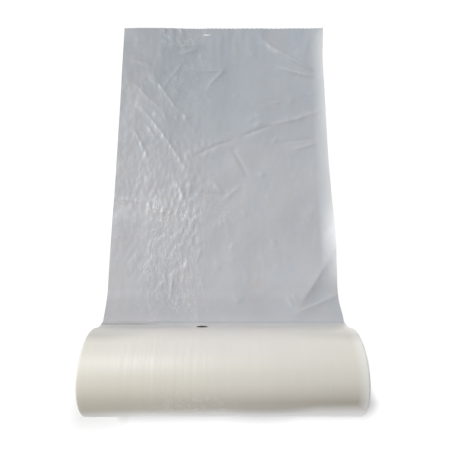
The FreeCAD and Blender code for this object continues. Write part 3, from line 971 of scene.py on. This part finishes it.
def wound_film_surface(nodes, settings):
    """Many turns of milky film: cream and satin, streaked round the roll, darker in the
    layers of its ends and turning to the grey of a single bag where it hangs free. Painted
    shade darkens its low front, its shoulders and the lip beside the tear line; painted
    light pales its top, its right end and a band low down, with painted highlights on its
    crinkles."""
    place = nodes.place()
    across, radius, turn = around_core(nodes, place)
    _, y, z = nodes.axes(place)
    end = nodes.share("end")
    streaks = nodes.noise(nodes.vector(across, 0.0, turn * STREAK_RUN), *STREAK_NOISE)
    clouds = nodes.noise(place, *CLOUD_NOISE)
    layers = nodes.noise(nodes.vector(0.0, radius, turn * LAYER_RUN), *LAYER_NOISE)
    grain = nodes.noise(nodes.vector(across, 0.0, turn * GRAIN_RUN), *GRAIN_NOISE)
    crinkles = roll_crinkles(nodes, across, y, z, turn)
    low, under, dip = low_side(across, y, z)

    tone = 1 + STREAK_TONE * (streaks - 0.5) + CLOUD_TONE * (clouds - 0.5)
    tone = tone - end * (END_SHADE + LAYER_SHADE * (layers - LAYER_MIDDLE))
    # Painted light: the top is paler, more so to the left.
    top = y.hump(TOP_MIDDLE, TOP_REACH) * (1 - end)
    tone = tone + top * (TOP_PAINTED_LIGHT - TOP_SIDE * across)
    # Painted light: the right end, the band low down and the crinkles are painted pale.
    painted_light = END_PAINTED_LIGHT_SHARE + (1 - END_PAINTED_LIGHT_SHARE) * low
    painted_light = painted_light * ((across - HALF_WIDTH + END_PAINTED_LIGHT) / END_PAINTED_LIGHT).held()
    painted_light = (painted_light.larger(under) * (1 - end) + CRINKLE_HIGHLIGHT * crinkles).held()
    # Painted shade: the low front is darker and warmer.
    shaded = (low * (LOW_SHARE + LOW_SIDE * across)).held() * (1 - end)
    cream = nodes.blend(shaded, settings.wound_colour, PAINTED_SHADE_COLOUR)
    cream = nodes.blend(painted_light, nodes.scaled(cream, tone), PAINTED_LIGHT_COLOUR)
    cream = nodes.tinted(cream, cream_tint(nodes, across, y))

    # Painted shade: the shoulders beside the lip and the lip beside the tear are darker.
    shoulder = (1 - ((y - SHOULDER_MIDDLE) / SHOULDER_FADE).size()).held()
    shoulder = shoulder * ((across.size() - SHOULDER_END) / SHOULDER_REACH).held()
    free = [part * tint for part, tint in zip(settings.near_colour, HANG_TINT)]
    film = nodes.blend(nodes.share("hang"), cream, free)
    film_tone = 1 - TEAR_SHADE * nodes.share("tear") - SHOULDER_SHADE * shoulder

    streaky = (STREAK_PEAK - ((across - STREAK_MIDDLE) / STREAK_REACH) ** 2).held()
    height = (1 - end) * streaky * (STREAK_BUMP * streaks + GRAIN_BUMP * grain)
    height = height + LAYER_BUMP * end * layers + CRINKLE_BUMP * crinkles
    dull = ((DULL_END - HALF_WIDTH - across) / DULL_END).held()
    rim = under * (1 - RIM_DIP * dip) * ((across + HALF_WIDTH) / RIM_FADE).held()
    roughness = ROLL_ROUGHNESS + STREAK_ROUGHNESS * streaks + END_ROUGHNESS * end
    roughness = roughness + DULL_ROUGHNESS * dull - RIM_SMOOTHNESS * rim
    coat = ROLL_COAT - END_COAT_LOSS * end - DULL_COAT_LOSS * dull + RIM_COAT * rim
    return nodes.node("ShaderNodeBsdfPrincipled", {}, {
        "Base Color": nodes.scaled(film, film_tone),
        "Roughness": roughness,
        "Specular IOR Level": 0.5,
        "Coat Weight": coat.held(),
        "Coat Roughness": COAT_ROUGHNESS,
        "Coat IOR": COAT_IOR,
        "Normal": nodes.bump(height, ROLL_BUMP),
    })


def single_film_surface(nodes, settings):
    """One bag of thin film: grey and glossy, paler towards the roll, and whitened along its
    creases, as strained film with a painted highlight, along its crumpled strokes, as a painted
    highlight, and along its curled edge, as painted light. Painted shade darkens its slope
    and its left side, and painted light pales its right side and the strip beside the tear."""
    place = nodes.place()
    across, y, _ = nodes.axes(place)
    strokes = film_strokes(nodes, across, y, UPRIGHT_HEADING, nodes.share("upright"))
    strokes = strokes + film_strokes(nodes, across, y, SLANTED_HEADING, nodes.share("slanted"))
    clouds = nodes.noise(place, *FILM_CLOUD_NOISE)
    patches = nodes.noise(place, *FILM_PATCH_NOISE)
    grain = nodes.noise(nodes.vector(across, y * FILM_GRAIN_RUN, 0.0), *FILM_GRAIN_NOISE)
    near = ((PALE_FROM - y) / (PALE_FROM - PALE_TO)).held()
    steep = ((SLOPE_END - y) / SLOPE_FADE).held()

    # Painted shade on the slope and to the left, painted light to the right and beside the tear.
    tone = 1 - SLOPE_SHADE * steep * (1 - SLOPE_SIDE * across) + PATCH_TONE * (patches - 0.5)
    tone = tone + SIDE_TONE * across * (1 - SIDE_LOSS * near) * (1 - steep)
    tone = tone + TEAR_PAINTED_LIGHT * (1 - (y - TEAR_POINT.y) / TEAR_PAINTED_LIGHT_REACH).held()
    film = nodes.blend(near, settings.film_colour, settings.near_colour)
    # The tone share holds the broad spots, the first of them painted shade.
    film = nodes.scaled(film, tone + nodes.share("tone"))
    cool = across.hump(COOL_PLACE[0], COOL_SIZE[0]) * y.hump(COOL_PLACE[1], COOL_SIZE[1])
    warm = WARM_CONTRAST * patches - WARM_FROM - WARM_SIDE * across - COOL_SHARE * cool
    film = nodes.tinted(film, nodes.blend(warm.held(), COOL_TINT, WARM_TINT))
    # Crests whiten as strained film with a painted highlight, strokes as painted highlights, and
    # the curled edge as painted light.
    pale = CLOUD_PALE * (clouds - 0.5) + CREST_PALE_AND_SHADE * nodes.share("crest")
    pale = pale + STROKE_HIGHLIGHT * strokes + nodes.share("painted_light") ** PAINTED_LIGHT_POWER
    return nodes.node("ShaderNodeBsdfPrincipled", {}, {
        "Base Color": nodes.blend(pale.held(), film, settings.pale_colour),
        "Roughness": FILM_ROUGHNESS + CLOUD_ROUGHNESS * clouds + SLOPE_ROUGHNESS * steep,
        "Specular IOR Level": 0.5,
        "Normal": nodes.bump(FILM_GRAIN_BUMP * grain + strokes, FILM_BUMP),
    })


def film_strokes(nodes, across, y, heading, share):
    """Thin broken ridges that run one way over the film, where their share is high."""
    run = across * cos(heading) + y * sin(heading)
    beside = y * cos(heading) - across * sin(heading)
    bent = nodes.noise(nodes.vector(run, beside, 0.0), *STROKE_BEND_NOISE)
    drawn = nodes.vector(STROKE_RUN * run, beside + STROKE_BEND * bent, heading)
    ridged = nodes.noise(drawn, *STROKE_NOISE)
    line = (1 - STROKE_NARROWNESS * (ridged - 0.5).size()).held()
    spread = nodes.vector(run, beside, STROKE_PATCH_SEED)
    patches = nodes.noise(spread, *STROKE_PATCH_NOISE)
    patches = STROKE_PATCH_CONTRAST * patches - STROKE_PATCH_FROM + STROKE_PATCH_GROWTH * share
    return line * patches.held() * share


# --- pieces --------------------------------------------------------------------------

def bag_rows(settings, columns, length):
    """Rows of the unrolled bag as distances from the perforation at each column, and the
    number of the row on the near rim of its slit."""
    regular = np.linspace(0, length, round(length * len(columns) / (2 * HALF_WIDTH)))
    slit = length - SLIT_TO_EDGE
    apart = [row for row in regular if abs(row - slit) > settings.slit_opening]
    cuts = [CUT_HEIGHT, length - CUT_HEIGHT]
    rows = sorted([*apart, *cuts, slit - SLIT_SEAM / 2, slit + SLIT_SEAM / 2])
    slit_row = rows.index(slit - SLIT_SEAM / 2)

    across, down = np.meshgrid(columns, np.array(rows))
    # Row 1 is the far rim of the cuts of the perforation.
    turn = (columns + CUT_LOSS_FROM * HALF_WIDTH) / (CUT_LOSS_OVER * HALF_WIDTH)
    down[1] = settings.cut_opening * (1 - CUT_LOSS * ease(turn))
    gape = slit_gape(columns) ** 2 * settings.slit_opening / 2
    down[slit_row] -= gape
    down[slit_row + 1] += gape
    return across, down, slit_row


def bag_sheet(settings):
    """The unrolled bag as points, faces and shares."""
    distance, path_y, path_z, path_heading, length = bag_path()
    columns = column_places(settings.columns)
    across, down, slit_row = bag_rows(settings, columns, length)
    y = np.interp(down, distance, path_y)
    z = np.interp(down, distance, path_z)
    heading = np.interp(down, distance, path_heading)
    height, crest = bag_height(across, y, settings)
    height *= ease(down / FOLD_START)
    edge = np.clip((across - HALF_WIDTH + CURL_WIDTH) / CURL_WIDTH, 0, 1)
    stretch = ease((y - CURL_START) / FOLD_FADE) * ease((FREE_EDGE - y) / FOLD_FADE + 0.5)
    ripple = CURL_SHARE + smooth_noise(across * 0, y, EDGE_RIPPLE)
    ripple = ripple + EDGE_LIFT * np.exp(-((y - EDGE_LIFT_AT) / FOLD_FADE) ** 2)
    height += settings.curl_height * edge ** CURL_POWER * stretch * ripple
    pulled = across - side_pull(across, y)

    half = settings.film_thickness / 2
    sides = []
    for lift in (height + half, height - half):
        place = [pulled, y - np.sin(heading) * lift, z + np.cos(heading) * lift]
        sides.append(np.stack(place, axis=-1).reshape(-1, 3))

    # The cuts at both ends and the slit are faces left out.
    rows, count = across.shape
    cut_columns = [c for c in range(CUT_MARGIN, count - 1 - CUT_MARGIN) if c % CUT_EVERY]
    gone = {(r, c) for r in (0, rows - 2) for c in cut_columns}
    gone |= {(slit_row, c) for c in open_columns(columns)}
    faces = [
        (r * count + c, r * count + c + 1, (r + 1) * count + c + 1, (r + 1) * count + c)
        for r in range(rows - 1) for c in range(count - 1) if (r, c) not in gone
    ]
    faces += close_sheet(faces, range(across.size, 2 * across.size))
    kinds = {
        "crest": crest,
        # The curled edge is painted pale, as painted light where it lifts.
        "painted_light": edge * stretch,
        "tone": tone_share(across, y),
        "upright": crumple_share(across, y, UPRIGHT_FIELDS),
        "slanted": crumple_share(across, y, SLANTED_FIELDS),
    }
    shares = {kind: np.tile(values.ravel(), 2) for kind, values in kinds.items()}
    return np.concatenate(sides), faces, shares, length


def open_columns(columns):
    """Numbers of the columns of faces that a slit leaves out."""
    gape = slit_gape(columns)
    return {c for c in range(len(columns) - 1) if gape[c] > 0 and gape[c + 1] > 0}


def side_pull(x, y):
    """How far to the left the film is drawn: its right edge by the folds, and all of it
    behind the roll."""
    right = ease((x - HALF_WIDTH / 2) / (HALF_WIDTH / 2))
    folds = ease((y - PULL_START) / PULL_FADE) * ease((PULL_END - y) / PULL_BACK)
    drift = ease((y - TEAR_POINT.y) / DRIFT_FADE) * ease((DRIFT_END - y) / DRIFT_BACK)
    return EDGE_PULL * right * folds + DRIFT * drift


def crumple_share(x, y, fields):
    """How finely crumpled the film is at each place: the greatest share of any field."""
    share = np.full(x.shape, CRUMPLE_EVERYWHERE)
    plan_x = (x + smooth_noise(x, y, SHIFT_ACROSS)) / MM
    plan_y = (y + smooth_noise(x, y, SHIFT_ALONG)) / MM
    for (left, near), (right, far), strength in fields:
        inside = window(plan_x, left, right, SOFT_BORDER) * window(plan_y, near, far, SOFT_BORDER)
        share = np.maximum(share, inside * strength)
    return share


def tone_share(x, y):
    """How much paler or darker the film is at each place than round it."""
    share = np.zeros(x.shape)
    for (middle_x, middle_y), (reach_x, reach_y), strength in TONE_SPOTS:
        near = hump(x / MM, middle_x, reach_x) * hump(y / MM, middle_y, reach_y)
        share += strength * near
    return share


def bag_height(x, y, settings):
    """Height of the crumpled film above where it would lie flat, and its crest lines."""
    random = Random(CREASE_SEED)
    folds = list(FOLDS)
    for field in CREASE_FIELDS:
        folds += small_creases(field, random)
    height, crest = raise_folds(x, y, folds)
    gaps = ease(0.5 + smooth_noise(x, y, FOLD_GAPS))
    whole = BROKEN_END * ease((y - BROKEN_TO) / BROKEN_TURN)
    broken = BROKEN_SHARE * ease(-x / BROKEN_FADE) * gaps * (1 - whole)
    height *= settings.fold_scale * (1 - broken)
    crest *= 1 - broken
    swell = 0.5 + smooth_noise(x, y, SWELL) + smooth_noise(x, y, SMALL_SWELL)
    height += settings.swell_height * swell + smooth_noise(x, y, RUFFLE)
    past_seal = y - FREE_EDGE + SEAL_TO_EDGE
    seal = np.exp(-(past_seal / SEAL_WIDTH) ** 2)
    height += SEAL_HEIGHT * seal * (0.5 + smooth_noise(x, y, SEAL_WAVE))
    skirt = SKIRT_HEIGHT * ease((past_seal + FOLD_FADE) / FOLD_FADE)
    calm = CALM_SHARE + (1 - CALM_SHARE) * ease((x - CALM_TO) / CALM_FADE)
    height += skirt * calm * smooth_noise(x, y, SKIRT_CRINKLE)
    return (height + np.sqrt(height ** 2 + SETTLE ** 2)) / 2, crest


def wound_rows(settings):
    """Rows of the wound film: how far the lip's rows are from the tear line, the angles of
    the rows round the roll from where the lip leaves it, and how far from there the roll
    has parted from the lip by the film's thickness."""
    regular = np.linspace(0, LIP_LENGTH, LIP_ROWS)
    apart = [row for row in regular if abs(row - SLIT_TO_EDGE) > settings.slit_opening / 2]
    lip = sorted([*apart, SLIT_TO_EDGE - SLIT_SEAM / 2, SLIT_TO_EDGE + SLIT_SEAM / 2])
    join = (2 * settings.film_thickness / (1 / ROLL_RADIUS + 1 / LIP_BEND)) ** 0.5
    turns = np.linspace(0, 2 * pi - join / ROLL_RADIUS, ROLL_ROWS + 2)[1:-1]
    return np.array(lip), turns, join


def lip_sides(settings, columns, lip, slit_row, join):
    """The lip's distances from the tear line, its outer face and its inner face, which
    runs back from the roll to the tear line."""
    gape = slit_gape(columns)
    across, up = np.meshgrid(columns, lip)
    up[slit_row] -= gape * SLIT_LIFT * settings.slit_opening
    up[slit_row + 1] += gape * SLIT_LIFT * settings.slit_opening
    knee = SLIT_TO_EDGE + settings.slit_opening
    inner_up = np.interp(up, [0, knee, LIP_LENGTH], [0, knee, LIP_LENGTH - join])
    pout = gape * np.where(np.arange(len(lip))[:, None] <= slit_row, POUT_BELOW, POUT_ABOVE)
    outer = lip_points(across, up, lip_lift(across, up, pout, settings))
    lift = lip_lift(across, inner_up, pout, settings) - settings.film_thickness
    return across, up, outer, lip_points(across, inner_up, lift)[::-1]


def wound_mesh(settings):
    """The wound film as points, faces and shares. Its rows run from the tear line up the
    lip's outer face, over the top of the roll and under it, and down the inner face."""
    lip, turns, join = wound_rows(settings)
    columns = column_places(settings.columns)
    count = len(columns)
    slit_row = int(np.argmin(np.abs(lip - (SLIT_TO_EDGE - SLIT_SEAM / 2))))
    lip_across, up, outer, inner = lip_sides(settings, columns, lip, slit_row, join)

    across, angle = np.meshgrid(columns, turns)
    film = LIP_LENGTH + ROLL_RADIUS * angle
    radius = ROLL_RADIUS - ROLL_MARGIN + roll_height(across, film, settings)
    angle = angle - LEAVE_ANGLE
    body = [across, radius * np.cos(angle), AXIS_HEIGHT + radius * np.sin(angle)]
    rows = np.concatenate([outer, np.stack(body, axis=-1), inner])
    rows[..., 2] = np.maximum(rows[..., 2], FLOOR_GAP)

    total_rows = len(rows)
    top = len(lip) - 1
    join_row = total_rows - 1 - top

    def point(row, column):
        return row * count + column

    def quad(row, column):
        return (point(row, column), point(row + 1, column),
                point(row + 1, column + 1), point(row, column + 1))

    gone = open_columns(columns)
    lip_faces = [
        quad(r, c) for r in range(top) for c in range(count - 1)
        if not (r == slit_row and c in gone)
    ]
    partner = {
        point(r, c): point(total_rows - 1 - r, c)
        for r in range(top + 1) for c in range(count)
    }
    leave_line = [point(top, c) for c in range(count)]
    faces = lip_faces + close_sheet(lip_faces, partner, leave_line)
    faces += [quad(r, c) for r in range(top, join_row) for c in range(count - 1)]

    points = [rows.reshape(-1, 3)]
    loop_rows = range(top, join_row + 1)
    bores = []
    for side, column in ((-1, 0), (1, count - 1)):
        loop = [point(r, column) for r in loop_rows]
        first = sum(len(block) for block in points)
        rim = rows[list(loop_rows), column]
        rings, ring_faces, bore = end_rings(rim, loop, side, first, settings)
        points.append(rings)
        faces += ring_faces
        bores.append(bore)
    left, right = bores
    for i in range(len(left)):
        j = (i + 1) % len(left)
        faces.append((right[i], right[j], left[j], left[i]))

    points = np.concatenate(points)
    film = np.concatenate([up, film, up[::-1]])
    across = np.concatenate([lip_across, across, lip_across])
    hang, tear, end = np.zeros((3, len(points)))
    hang[:film.size] = hang_share(across, film).ravel()
    tear[:film.size] = tear_shade_share(across, film).ravel()
    end[film.size:] = 1
    return points, faces, {"hang": hang, "tear": tear, "end": end}


def hang_share(across, film):
    """How much the film looks like a single bag, by the distance from the tear line."""
    left = np.clip((HANG_LEFT_FROM - across) / HANG_LEFT_REACH, 0, 1)
    fade = HANG_FADE + HANG_FADE_LEFT * left
    return HANG_SHARE * ease((fade - film) / fade)


def tear_shade_share(across, film):
    """How much painted shade, standing in for the gaping perforation's, darkens the lip beside
    it.
    """
    tear = np.exp(-((film - TEAR_LINE) / TEAR_LINE_WIDTH) ** 2)
    return tear * ease((TEAR_LEFT_FROM - across) / TEAR_LEFT_FADE)


def lip_lift(across, up, pout, settings):
    """Height of the hanging lip over its true bend: the roll's own unevenness fades into
    broad waves, and the film pouts beside the slit."""
    free = ease((LIP_LENGTH - up) / HANG_FADE)
    near_slit = np.exp(-((up - SLIT_TO_EDGE) / POUT_REACH) ** 2)
    lift = roll_height(across, up, settings) * (1 - free)
    lift += settings.slit_opening * pout * near_slit
    return lift + free * smooth_noise(across, up, LIP_WAVE)


def lip_points(across, up, lift):
    """Places on the hanging lip, by the distance up from the tear line and the height
    above the film's outer face."""
    heading = TEAR_HEADING - up / LIP_BEND
    reach = LIP_BEND - lift
    y = LIP_CENTRE.y + np.sin(heading) * reach
    z = LIP_CENTRE.z - np.cos(heading) * reach
    return np.stack([across, y, z], axis=-1)


def roll_height(x, film, settings):
    """Height of the roll's outer turn over a true cylinder, at each distance from the
    tear line along the film: gauge bands, broad unevenness, soft corners."""
    quiet = (1 - QUIET_RIGHT * ease((x - QUIET_RIGHT_FROM) / QUIET_RIGHT_FADE)
             - QUIET_LEFT * ease((QUIET_LEFT_FROM - x) / QUIET_LEFT_FADE))
    bands = smooth_noise(x, film, FINE_BANDS) + smooth_noise(x, film, BROAD_BANDS)
    height = settings.band_height * quiet * bands + smooth_noise(x, film, ROLL_WAVE)
    corner = settings.corner_radius
    over = np.clip((np.abs(x) - HALF_WIDTH + corner) / corner, 0, 1)
    return height - corner * (1 - np.sqrt(1 - over ** 2))


def end_rings(rim, loop, side, first, settings):
    """Rings of film edges on one end of the roll, from its rim in to the core. Gives
    their points, their faces and the numbers of the points round the bore."""
    random = Random(RING_SEED + side)
    size = len(loop)
    bore_radius = CORE_RADIUS + CORE_CLEARANCE
    middle = np.array([side * HALF_WIDTH, 0, AXIS_HEIGHT])
    ways = rim - middle
    ways[:, 0] = 0
    reach = np.linalg.norm(ways, axis=1, keepdims=True)
    rings = []
    for ring in range(1, RINGS + 1):
        share = ring / RINGS
        radius = reach + (bore_radius - reach) * share
        coarse = (1 - cos(2 * pi * share * COARSE_RINGS)) / 2
        relief = COARSE_SHARE * coarse + (1 - COARSE_SHARE) * random.random()
        points = middle + ways / reach * radius
        points[:, 0] -= side * settings.turn_relief * relief * min(1, RELIEF_GROWTH * share)
        rings.append(points)
    starts = [first + size * ring for ring in range(RINGS)]
    numbers = [loop] + [list(range(start, start + size)) for start in starts]
    faces = []
    for outer, inner in zip(numbers, numbers[1:]):
        for i in range(size):
            j = (i + 1) % size
            face = (outer[i], outer[j], inner[j], inner[i])
            faces.append(face if side > 0 else face[::-1])
    return np.concatenate(rings), faces, numbers[-1]


# --- stage ---------------------------------------------------------------------------

def seen_share(nodes):
    """1 for what the camera sees, in itself, in a gloss or through a film."""
    path = nodes.node("ShaderNodeLightPath", {}, {}, "Is Camera Ray")
    return (path + path.output("Is Glossy Ray") + path.output("Is Transmission Ray")).held()


def floor_surface(nodes):
    """White paper that keeps the object's shadow and reads as white to the camera."""
    across, y, _ = nodes.axes(nodes.place())
    beside_roll = (1 - y / ROLL_RADIUS).held()
    front_corner = (-y / ROLL_RADIUS).held()
    beside = across.size() - HALF_WIDTH + GLOW_INSIDE * (1 - beside_roll)
    beside = ((beside - CORNER_REACH * front_corner) / GLOW_FADE).held()
    dip = across.hump(DIP_MIDDLE, DIP_REACH)
    before = FRONT_GLOW * (1 - dip) * (FRONT_SHARE + FRONT_TILT * across) - ROLL_RADIUS - y
    before = before - FRONT_LEFT_SHADE * ((FRONT_LEFT - across) / FRONT_LEFT_FADE).held()
    before = (before / GLOW_FADE).held()
    behind = ((y - FREE_EDGE + GLOW_INSIDE) / GLOW_FADE).held()
    corner = (beside ** 2 + before ** 2) ** 0.5
    glow = seen_share(nodes) * corner.larger(behind).held() * FLOOR_GLOW
    paper = nodes.node("ShaderNodeBsdfDiffuse", {}, {"Color": PAPER_COLOUR})
    light = nodes.node("ShaderNodeEmission", {}, {"Color": WHITE, "Strength": GLOW_STRENGTH})
    return nodes.node("ShaderNodeMixShader", {}, {0: glow, 1: paper, 2: light})


def add_floor(context):
    mesh = bpy.data.meshes.new("floor")
    far = FLOOR_SIZE / 2
    corners = [(-far, -far, 0), (far, -far, 0), (far, far, 0), (-far, far, 0)]
    mesh.from_pydata(corners, [], [(0, 1, 2, 3)])
    mesh.materials.append(new_finish("paper_floor", floor_surface))
    floor_object = bpy.data.objects.new("floor", mesh)
    floor_object.location.z = -FLOOR_GAP
    context.scene.collection.objects.link(floor_object)


def add_key_lamp(context, settings):
    lamp = bpy.data.lights.new("key", "AREA")
    lamp.shape = "DISK"
    lamp.size = KEY_SIZE
    lamp.energy = settings.key_power
    key = bpy.data.objects.new("key", lamp)
    key.location = STAGE_MIDDLE + KEY_WAY.normalized() * KEY_DISTANCE
    key.rotation_euler = KEY_WAY.to_track_quat("Z", "Y").to_euler()
    context.scene.collection.objects.link(key)


def add_sky(context, settings):
    world = bpy.data.worlds.new("sky")
    world.use_nodes = True
    context.scene.world = world
    nodes = Nodes(world.node_tree)
    strength = settings.fill_strength + (1 - settings.fill_strength) * seen_share(nodes)
    light = nodes.node("ShaderNodeBackground", {}, {"Color": WHITE, "Strength": strength})
    nodes.node("ShaderNodeOutputWorld", {}, {"Surface": light})


def add_camera(context):
    data = bpy.data.cameras.new("camera")
    data.sensor_width = CAMERA_SENSOR
    data.lens = CAMERA_LENS
    camera = bpy.data.objects.new("camera", data)
    camera.location = CAMERA_PLACE
    camera.rotation_euler = (CAMERA_TILT, 0, 0)
    context.scene.collection.objects.link(camera)
    context.scene.camera = camera


def add_front_card(context, settings):
    """A low, broad, weak light in front, as a white card would give."""
    lamp = bpy.data.lights.new("card", "AREA")
    lamp.shape = "RECTANGLE"
    lamp.size = CARD_SIZE[0]
    lamp.size_y = CARD_SIZE[1]
    lamp.energy = settings.card_power
    card = bpy.data.objects.new("card", lamp)
    card.location = CARD_PLACE
    card.visible_glossy = False
    card.rotation_euler = (CARD_PLACE - ROLL_AXIS).to_track_quat("Z", "Y").to_euler()
    context.scene.collection.objects.link(card)


# --- operators -----------------------------------------------------------------------

class BAGROLL_OT_core(Operator):
    """Give the core tube its spiral-wound paperboard"""
    bl_idname = "bagroll.core"
    bl_label = "Finish Core"

    def execute(self, context):
        settings = context.scene.bag_roll
        finish = new_finish("paperboard", lambda nodes: paperboard_surface(nodes, settings))
        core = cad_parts["core_tube"]
        core.data.materials.clear()
        core.data.materials.append(finish)
        return {"FINISHED"}


class BAGROLL_OT_wound_film(Operator):
    """Make the wound turns of film and the lip that hangs from them"""
    bl_idname = "bagroll.wound_film"
    bl_label = "Make Wound Film"

    def execute(self, context):
        settings = context.scene.bag_roll
        finish = new_finish("wound_film", lambda nodes: wound_film_surface(nodes, settings))
        points, faces, shares = wound_mesh(settings)
        build_piece(context, "wound_film", points, faces, shares, finish,
                    "wound_bags")
        return {"FINISHED"}


class BAGROLL_OT_unrolled_bag(Operator):
    """Make the crumpled bag that lies unrolled behind the roll"""
    bl_idname = "bagroll.unrolled_bag"
    bl_label = "Make Unrolled Bag"

    def execute(self, context):
        settings = context.scene.bag_roll
        finish = new_finish("single_film", lambda nodes: single_film_surface(nodes, settings))
        points, faces, shares, length = bag_sheet(settings)
        bag = build_piece(context, "unrolled_bag", points, faces, shares, finish,
                          "leading_bag")
        return {"FINISHED"}


class BAGROLL_OT_stage(Operator):
    """Set up the floor, the lamps, the sky and the camera"""
    bl_idname = "bagroll.stage"
    bl_label = "Set Up Stage"

    def execute(self, context):
        settings = context.scene.bag_roll
        add_floor(context)
        add_key_lamp(context, settings)
        add_front_card(context, settings)
        add_sky(context, settings)
        add_camera(context)
        context.scene.view_settings.view_transform = "Standard"
        return {"FINISHED"}


class BAGROLL_PT_panel(Panel):
    """Sizes, colours and steps of the bag roll"""
    bl_idname = "BAGROLL_PT_panel"
    bl_label = "Bag Roll"
    bl_space_type = "VIEW_3D"
    bl_region_type = "UI"
    bl_category = "Bag Roll"

    def draw(self, context):
        for name in BagRollSettings.__annotations__:
            self.layout.prop(context.scene.bag_roll, name)
        for step in STEPS:
            self.layout.operator(step.bl_idname)


STEPS = (BAGROLL_OT_core, BAGROLL_OT_wound_film, BAGROLL_OT_unrolled_bag, BAGROLL_OT_stage)
CLASSES = (BagRollSettings, *STEPS, BAGROLL_PT_panel)


def register():
    for item in CLASSES:
        bpy.utils.register_class(item)
    bpy.types.Scene.bag_roll = PointerProperty(type=BagRollSettings)


def unregister():
    del bpy.types.Scene.bag_roll
    for item in reversed(CLASSES):
        bpy.utils.unregister_class(item)


def main():
    register()
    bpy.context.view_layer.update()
    bpy.ops.bagroll.core()
    bpy.ops.bagroll.wound_film()
    bpy.ops.bagroll.unrolled_bag()
    bpy.ops.bagroll.stage()


if __name__ == "__main__":
    main()
